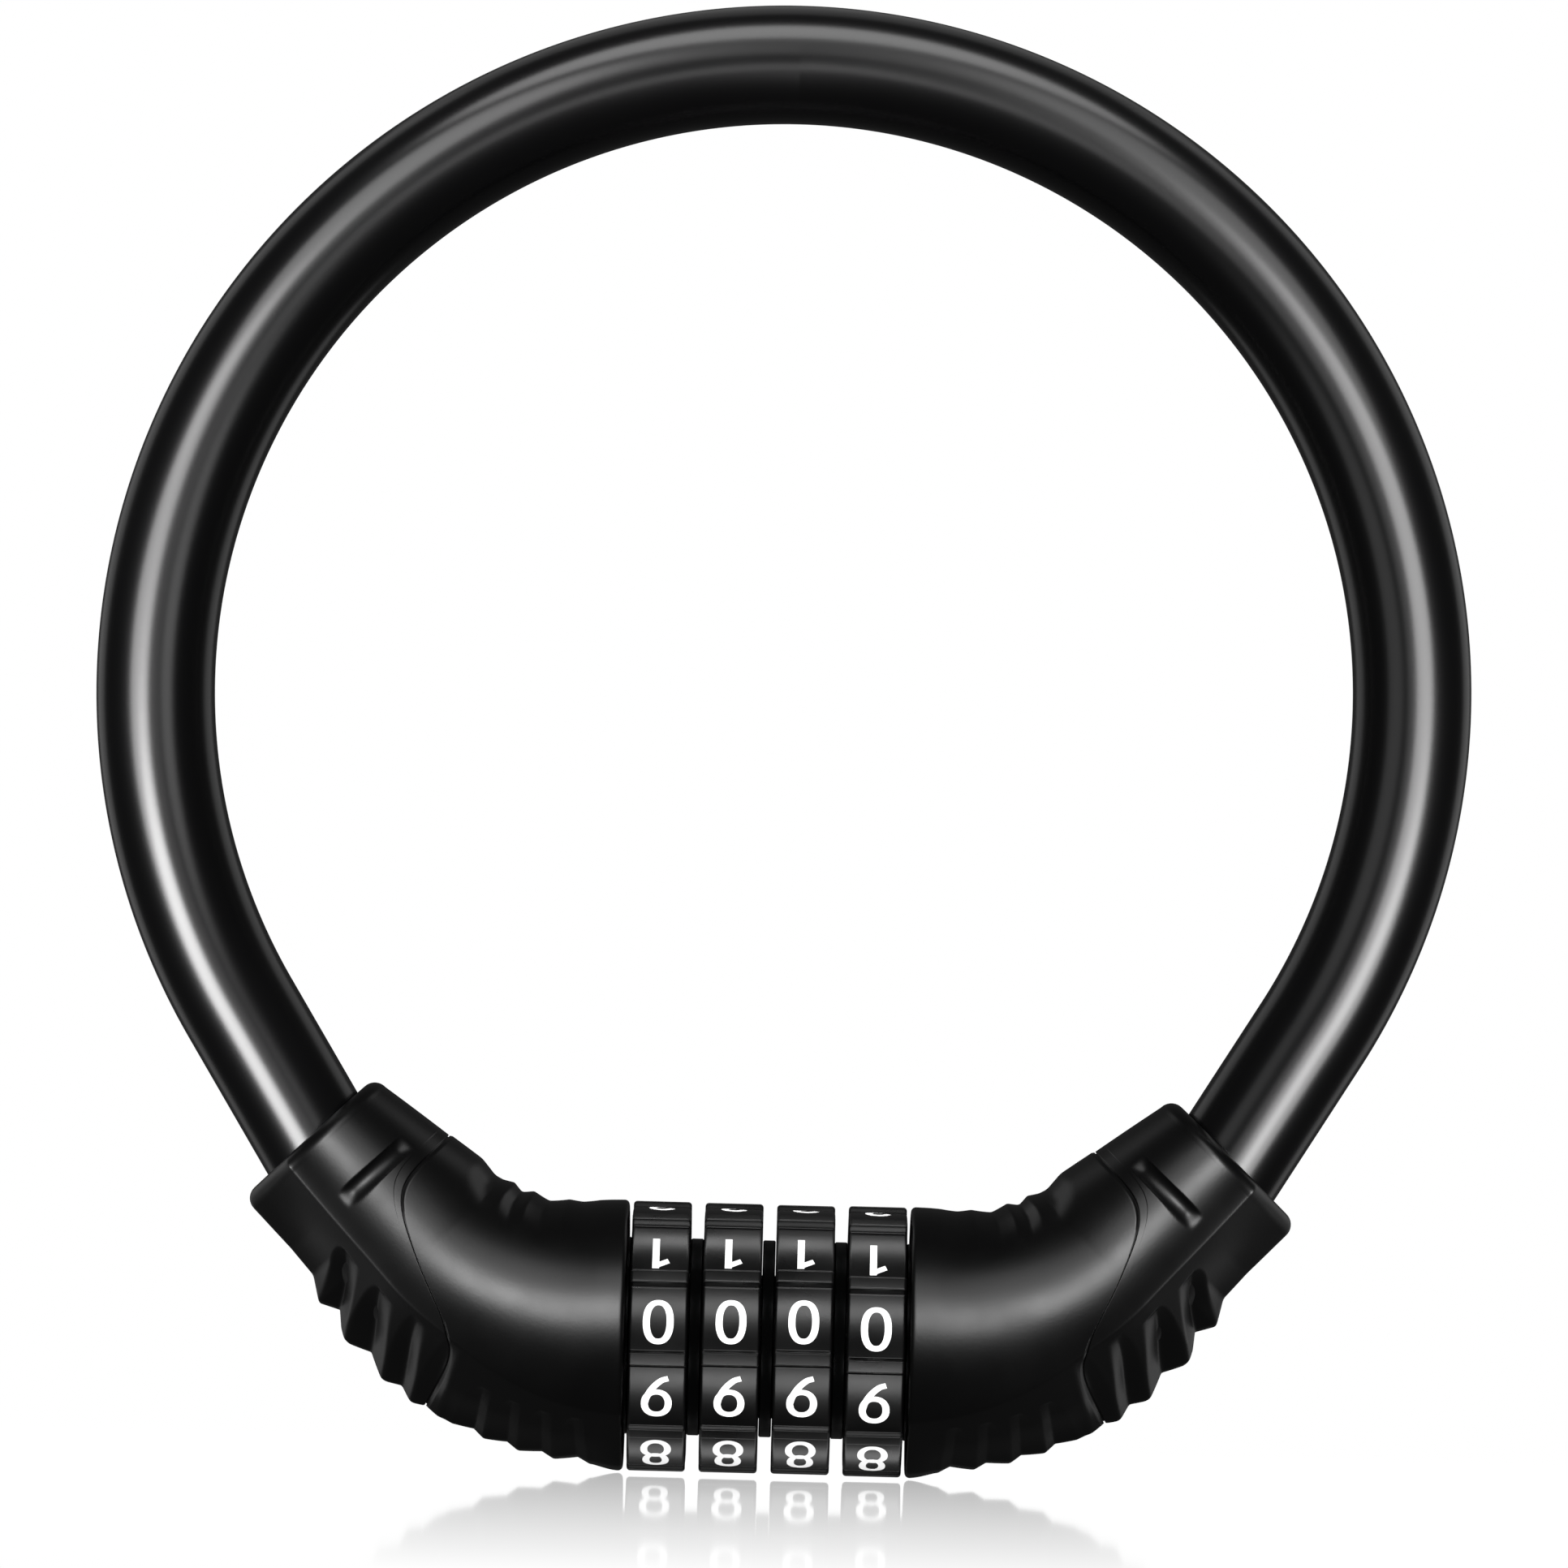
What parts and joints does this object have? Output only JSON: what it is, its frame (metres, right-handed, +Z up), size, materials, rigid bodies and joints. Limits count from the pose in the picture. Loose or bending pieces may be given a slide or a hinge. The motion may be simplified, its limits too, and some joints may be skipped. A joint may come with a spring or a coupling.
{
  "type": "combination cable lock",
  "caption": "Ring-form cable lock: thick covered steel cable loop, two bent housings with finger scoops, and number dials between them; it opens by pulling one housing off the dials.",
  "frame": {"origin": "inner top of the cable loop, where the lock hangs from what it locks", "axes": "+Z up, from the dials to the top of the loop; +X from the fixed housing to the housing that pulls off; the dials' code line faces -Y"},
  "size_m": [0.139, 0.0276, 0.1487],
  "materials": {
    "cable_cover": "smooth glossy black PVC",
    "housing_black": "satin gloss black moulded plastic",
    "dial_black": "satin black moulded plastic with white printed numbers",
    "steel": "bright steel",
    "zinc": "die-cast zinc",
    "brass": "machined brass",
    "dark_steel": "blackened spring steel"
  },
  "bodies": {
    "cable_left": {"cable_jacket_left": "cable_cover", "cable_core_left": "steel"},
    "lock_body": {"left_collar_shell": "housing_black", "left_grip_shell": "housing_black", "left_ferrule": "steel", "left_ferrule_pin": "steel", "left_insert_pin": "steel", "barrel_base": "zinc", "lock_barrel": "zinc", "retaining_clip": "dark_steel", "spacer_1": "dark_steel", "spacer_2": "dark_steel", "spacer_3": "dark_steel", "spacer_4": "dark_steel", "spacer_5": "dark_steel", "detent_ball_1": "steel", "detent_ball_2": "steel", "detent_ball_3": "steel", "detent_ball_4": "steel", "detent_spring_1": "steel", "detent_spring_2": "steel", "detent_spring_3": "steel", "detent_spring_4": "steel"},
    "dial_unit_1": {"dial_1": "dial_black", "code_ring_1": "brass"},
    "dial_unit_2": {"dial_2": "dial_black", "code_ring_2": "brass"},
    "dial_unit_3": {"dial_3": "dial_black", "code_ring_3": "brass"},
    "dial_unit_4": {"dial_4": "dial_black", "code_ring_4": "brass"},
    "cable_right": {"cable_jacket_right": "cable_cover", "cable_core_right": "steel"},
    "plug": {"right_collar_shell": "housing_black", "right_grip_shell": "housing_black", "right_ferrule": "steel", "right_ferrule_pin": "steel", "right_insert_pin": "steel", "bolt_carrier": "zinc", "locking_bolt": "steel"}
  },
  "joints": [
    {"name": "loop_open", "type": "hinge", "parent": "cable_left", "child": "cable_right", "pos_m": [0, 0, 0.012], "axis": [0, -1, 0], "range_deg": [0, 18.5], "stiffness_Nm_per_rad": 0.6},
    {"name": "left_flex", "type": "hinge", "parent": "cable_left", "child": "lock_body", "pos_m": [-0.04607, 0, -0.10414], "axis": [0, -1, 0], "range_deg": [0, 9.25]},
    {"name": "right_flex", "type": "hinge", "parent": "cable_right", "child": "plug", "pos_m": [0.04607, 0, -0.10414], "axis": [0, -1, 0], "range_deg": [-9.25, 0]},
    {"name": "dial_turn_1", "type": "hinge", "parent": "lock_body", "child": "dial_unit_1", "pos_m": [-0.0109, 0, -0.12299], "axis": [1, 0, 0], "continuous": true},
    {"name": "dial_turn_2", "type": "hinge", "parent": "lock_body", "child": "dial_unit_2", "pos_m": [-0.00364, 0, -0.12299], "axis": [1, 0, 0], "continuous": true},
    {"name": "dial_turn_3", "type": "hinge", "parent": "lock_body", "child": "dial_unit_3", "pos_m": [0.00364, 0, -0.12299], "axis": [1, 0, 0], "continuous": true},
    {"name": "dial_turn_4", "type": "hinge", "parent": "lock_body", "child": "dial_unit_4", "pos_m": [0.0109, 0, -0.12299], "axis": [1, 0, 0], "continuous": true}
  ],
  "couplings": [
    {"joint": "left_flex", "follows": "loop_open", "ratio": 0.5},
    {"joint": "right_flex", "follows": "loop_open", "ratio": -0.5}
  ]
}
